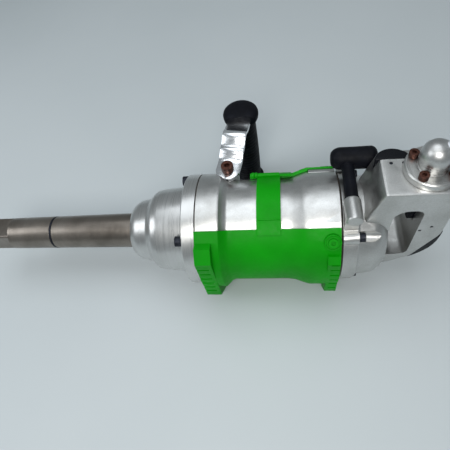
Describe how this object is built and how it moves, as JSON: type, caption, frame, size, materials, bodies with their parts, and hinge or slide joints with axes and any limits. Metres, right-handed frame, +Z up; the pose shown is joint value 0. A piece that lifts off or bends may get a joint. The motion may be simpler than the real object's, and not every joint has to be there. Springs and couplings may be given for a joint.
{
  "type": "impact wrench",
  "caption": "Pneumatic impact wrench with long square-drive anvil, air motor in a plastic guard, D-handle with trigger, swivel air inlet, reverse lever and side handle.",
  "frame": {"origin": "centre of the square drive's end face", "axes": "+X along the tool axis towards the handle, +Y towards the side handle, +Z up towards the air inlet"},
  "size_m": [0.4804, 0.1868, 0.1822],
  "materials": {
    "cast_aluminium": "satin cast",
    "polished_aluminium": "polished",
    "machined_steel": "fine turned",
    "black_screws": "black oxide",
    "brown_screws": "dark brown",
    "green_plastic": "moulded",
    "black_rubber": "matt",
    "white_fitting": "smooth",
    "gasket_and_vanes": "fibre",
    "bronze": "oiled"
  },
  "bodies": {
    "tool_body": {"anvil_bushing": "bronze", "backhead": "cast_aluminium", "backhead_bolt_1": "black_screws", "backhead_bolt_2": "black_screws", "backhead_bolt_3": "black_screws", "backhead_bolt_4": "black_screws", "backhead_gasket": "gasket_and_vanes", "case_bolt_1": "black_screws", "case_bolt_2": "black_screws", "case_bolt_3": "black_screws", "case_bolt_4": "black_screws", "case_gasket": "gasket_and_vanes", "cylinder_liner": "machined_steel", "front_bearing": "machined_steel", "front_end_plate": "machined_steel", "guard": "green_plastic", "guard_screw": "green_plastic", "guard_strap": "green_plastic", "hammer_case": "cast_aluminium", "handle_bolt_lower": "brown_screws", "handle_bolt_upper": "brown_screws", "inlet_bolt_1": "brown_screws", "inlet_bolt_2": "brown_screws", "inlet_bolt_3": "brown_screws", "inlet_bolt_4": "brown_screws", "inlet_flange": "cast_aluminium", "motor_housing": "cast_aluminium", "nose_seal": "black_rubber", "rear_bearing": "machined_steel", "rear_end_plate": "machined_steel", "rear_pad": "black_rubber", "throttle_spring": "machined_steel", "top_pad": "black_rubber"},
    "anvil_body": {"anvil": "machined_steel", "retaining_ring": "black_screws"},
    "rotor_body": {"rotor": "machined_steel", "hammer_cage": "machined_steel", "hammer_front": "machined_steel", "hammer_rear": "machined_steel", "hammer_pin_left": "machined_steel", "hammer_pin_right": "machined_steel", "vane_1": "gasket_and_vanes", "vane_2": "gasket_and_vanes", "vane_3": "gasket_and_vanes", "vane_4": "gasket_and_vanes", "vane_5": "gasket_and_vanes", "vane_6": "gasket_and_vanes"},
    "trigger_body": {"trigger": "black_rubber"},
    "valve_body": {"throttle_valve": "machined_steel"},
    "reverse_lever": {"reverse_spindle": "black_rubber", "reverse_knob": "black_rubber"},
    "inlet_swivel": {"swivel_elbow": "cast_aluminium", "inlet_fitting": "white_fitting"},
    "side_handle": {"handle_leg_upper": "polished_aluminium", "handle_leg_lower": "polished_aluminium", "side_grip": "black_rubber", "grip_rod": "machined_steel", "grip_cap_upper": "black_rubber", "grip_cap_lower": "black_rubber"}
  },
  "joints": [
    {"name": "rotor_spin", "type": "hinge", "parent": "tool_body", "child": "rotor_body", "pos_m": [0.31, 0, 0], "axis": [1, 0, 0], "continuous": true},
    {"name": "anvil_spin", "type": "hinge", "parent": "tool_body", "child": "anvil_body", "pos_m": [0.1, 0, 0], "axis": [1, 0, 0], "continuous": true},
    {"name": "trigger_pull", "type": "slide", "parent": "tool_body", "child": "trigger_body", "axis": [1, 0, 0], "range_m": [0, 0.005], "stiffness_N_per_m": 1500, "springref_m": -0.001, "deforming": ["throttle_spring"]},
    {"name": "valve_slide", "type": "slide", "parent": "tool_body", "child": "valve_body", "axis": [1, 0, 0], "range_m": [0, 0.005], "stiffness_N_per_m": 200},
    {"name": "reverse_turn", "type": "hinge", "parent": "tool_body", "child": "reverse_lever", "pos_m": [0.386, 0, 0.0585], "axis": [0, -1, 0], "range_deg": [0, 90]},
    {"name": "inlet_turn", "type": "hinge", "parent": "tool_body", "child": "inlet_swivel", "pos_m": [0.446, 0, 0.1], "axis": [0, 0, 1], "continuous": true},
    {"name": "side_handle_swing", "type": "hinge", "parent": "tool_body", "child": "side_handle", "pos_m": [0.273, 0.043, 0], "axis": [0, 0, 1], "range_deg": [-20, 20]}
  ],
  "couplings": [
    {"joint": "anvil_spin", "follows": "rotor_spin", "ratio": 1},
    {"joint": "valve_slide", "follows": "trigger_pull", "ratio": 1}
  ]
}
